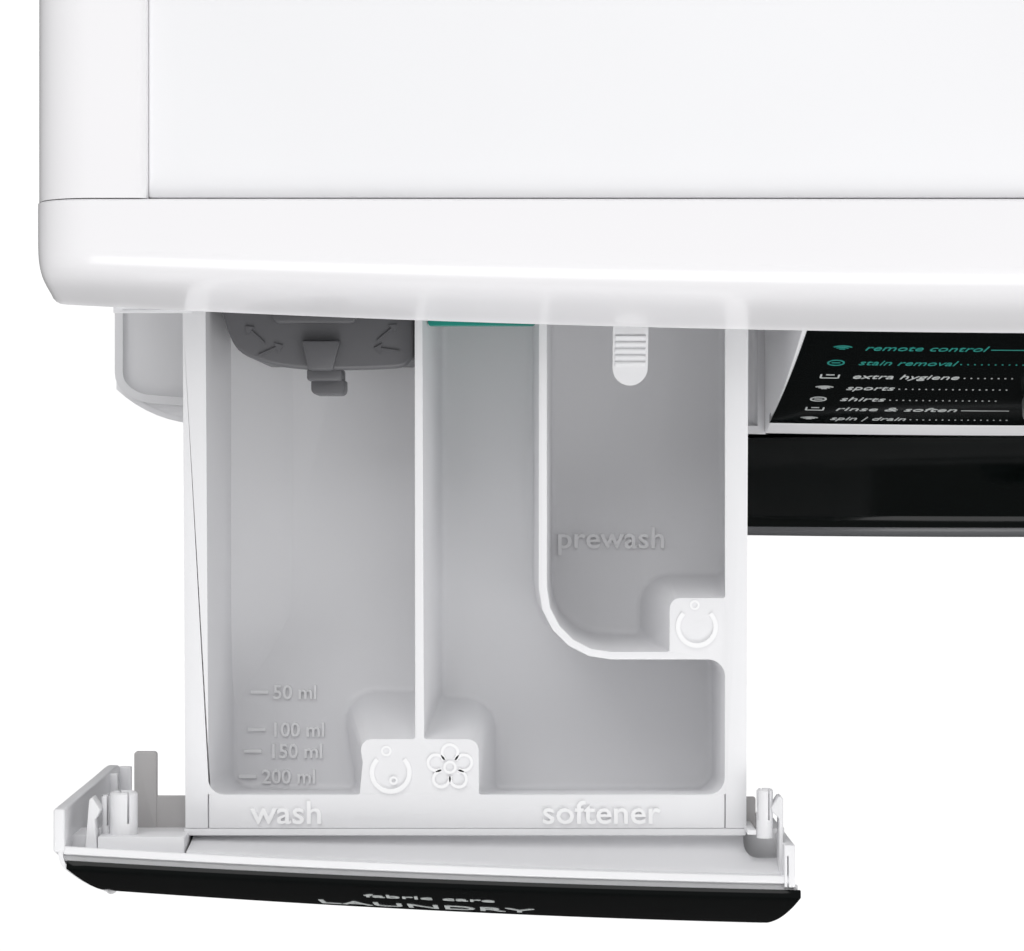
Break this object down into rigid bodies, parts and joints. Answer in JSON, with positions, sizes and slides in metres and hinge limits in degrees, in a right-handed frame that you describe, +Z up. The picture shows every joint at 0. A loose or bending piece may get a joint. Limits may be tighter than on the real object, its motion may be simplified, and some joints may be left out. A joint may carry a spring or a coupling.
{
  "type": "front load washing machine",
  "caption": "Free-standing front load washing machine with a round black door, black control panel, programme knob and a detergent drawer pulled out with its bins in view.",
  "frame": {"origin": "on the floor, under the middle of the object's box with the drawer pulled out", "axes": "+Z up, -Y towards the user at the machine's front, +X to the user's right"},
  "size_m": [0.6, 0.6997, 0.85],
  "materials": {
    "white_steel": "smooth white enamel",
    "white_plastic": "satin white",
    "tray_plastic": "satin off-white",
    "white_board": "smooth white laminate",
    "black_panel": "polished black",
    "black_gloss": "polished black",
    "smoked_cover": "polished smoked",
    "clear_glass": "clear moulded glass",
    "dark_plastic": "fine texture",
    "grey_plastic": "fine texture",
    "flap_grey": "satin dark grey",
    "knob_grey": "satin silver-grey",
    "teal_plastic": "satin teal",
    "grey_rubber": "matt grey",
    "black_rubber": "matt black",
    "concrete": "cast, coarse",
    "stainless": "brushed stainless",
    "aluminium": "die cast",
    "zinc_steel": "zinc plated",
    "board_green": "laminate",
    "valve_blue": "satin blue"
  },
  "bodies": {
    "cabinet": {"cabinet_wrap": "white_steel", "front_panel": "white_steel", "back_cover": "white_steel", "base_tray": "dark_plastic", "kick_plate": "white_plastic", "foot_front_left": "black_rubber", "foot_front_right": "black_rubber", "foot_rear_left": "black_rubber", "foot_rear_right": "black_rubber", "top_side_frame": "white_plastic", "top_front_trim": "white_plastic", "top_board": "white_board", "fascia_housing": "white_plastic", "control_glass": "black_panel", "control_board": "board_green", "dispenser_housing": "grey_plastic", "dispenser_hose": "black_rubber", "inlet_valve": "valve_blue", "door_gasket": "grey_rubber", "door_lock": "white_plastic", "hinge_bracket": "zinc_steel", "drain_pump": "grey_plastic", "sump_hose": "black_rubber", "mains_gland": "black_rubber", "spring_left": "zinc_steel", "spring_right": "zinc_steel", "damper_cylinder_left": "grey_plastic", "damper_cylinder_right": "grey_plastic"},
    "tub": {"tub_front": "grey_plastic", "tub_rear": "grey_plastic", "bearing_front": "zinc_steel", "bearing_rear": "zinc_steel", "front_weight": "concrete", "top_weight": "concrete", "motor_case": "aluminium", "heater": "zinc_steel", "drive_belt": "black_rubber", "damper_rod_left": "zinc_steel", "damper_rod_right": "zinc_steel"},
    "drum": {"drum_shell": "stainless", "drum_lifter_1": "grey_plastic", "drum_lifter_2": "grey_plastic", "drum_lifter_3": "grey_plastic", "drum_spider": "aluminium", "drum_pulley": "aluminium"},
    "motor_rotor": {"motor_pulley": "zinc_steel"},
    "door": {"door_frame": "black_gloss", "door_cover": "smoked_cover", "door_glass": "clear_glass"},
    "door_catch": {"door_hook": "zinc_steel"},
    "drawer": {"drawer_tray": "tray_plastic", "drawer_front_frame": "tray_plastic", "drawer_front_plate": "black_panel", "siphon_cap": "teal_plastic"},
    "flap": {"liquid_flap": "flap_grey"},
    "tab": {"release_tab": "tray_plastic"},
    "knob": {"program_knob": "knob_grey"},
    "button": {"start_button": "knob_grey"},
    "service_flap": {"pump_flap": "white_plastic"},
    "filter": {"pump_filter": "white_plastic"}
  },
  "joints": [
    {"name": "tub_bounce", "type": "slide", "parent": "cabinet", "child": "tub", "axis": [0, 0, 1], "range_m": [-0.008, 0.008], "stiffness_N_per_m": 12000, "springref_m": 0.02699, "deforming": ["spring_left", "spring_right", "dispenser_hose", "sump_hose"]},
    {"name": "drum_spin", "type": "hinge", "parent": "tub", "child": "drum", "pos_m": [0, 0.04555, 0.43], "axis": [0, 1, 0], "continuous": true},
    {"name": "motor_spin", "type": "hinge", "parent": "tub", "child": "motor_rotor", "pos_m": [0, 0.24555, 0.098], "axis": [0, 1, 0], "continuous": true},
    {"name": "door_swing", "type": "hinge", "parent": "cabinet", "child": "door", "pos_m": [-0.252, -0.20245, 0.43], "axis": [0, 0, -1], "range_deg": [0, 118]},
    {"name": "catch_tilt", "type": "hinge", "parent": "door", "child": "door_catch", "pos_m": [0.2015, -0.19545, 0.43], "axis": [0, 0, 1], "range_deg": [0, 5], "stiffness_Nm_per_rad": 0.5},
    {"name": "drawer_slide", "type": "slide", "parent": "cabinet", "child": "drawer", "axis": [0, -1, 0], "range_m": [-0.1533, 0.035]},
    {"name": "flap_lift", "type": "slide", "parent": "drawer", "child": "flap", "axis": [0, 0, 1], "range_m": [0, 0.008]},
    {"name": "tab_press", "type": "hinge", "parent": "drawer", "child": "tab", "pos_m": [-0.142, -0.16545, 0.798], "axis": [1, 0, 0], "range_deg": [0, 8], "stiffness_Nm_per_rad": 0.2},
    {"name": "knob_turn", "type": "hinge", "parent": "cabinet", "child": "knob", "pos_m": [0.003, -0.18494, 0.757], "axis": [0, -0.9715, 0.2372], "continuous": true},
    {"name": "button_press", "type": "slide", "parent": "cabinet", "child": "button", "axis": [0, 0.9715, -0.2372], "range_m": [0, 0.0015], "stiffness_N_per_m": 400},
    {"name": "service_flap_fold", "type": "hinge", "parent": "cabinet", "child": "service_flap", "pos_m": [0.215, -0.19064, 0.039], "axis": [1, 0, 0], "range_deg": [0, 90]},
    {"name": "filter_unscrew", "type": "hinge", "parent": "cabinet", "child": "filter", "pos_m": [0.215, -0.16445, 0.071], "axis": [0, -1, 0], "range_deg": [0, 90]}
  ],
  "couplings": [
    {"joint": "motor_spin", "follows": "drum_spin", "ratio": 13.558}
  ]
}
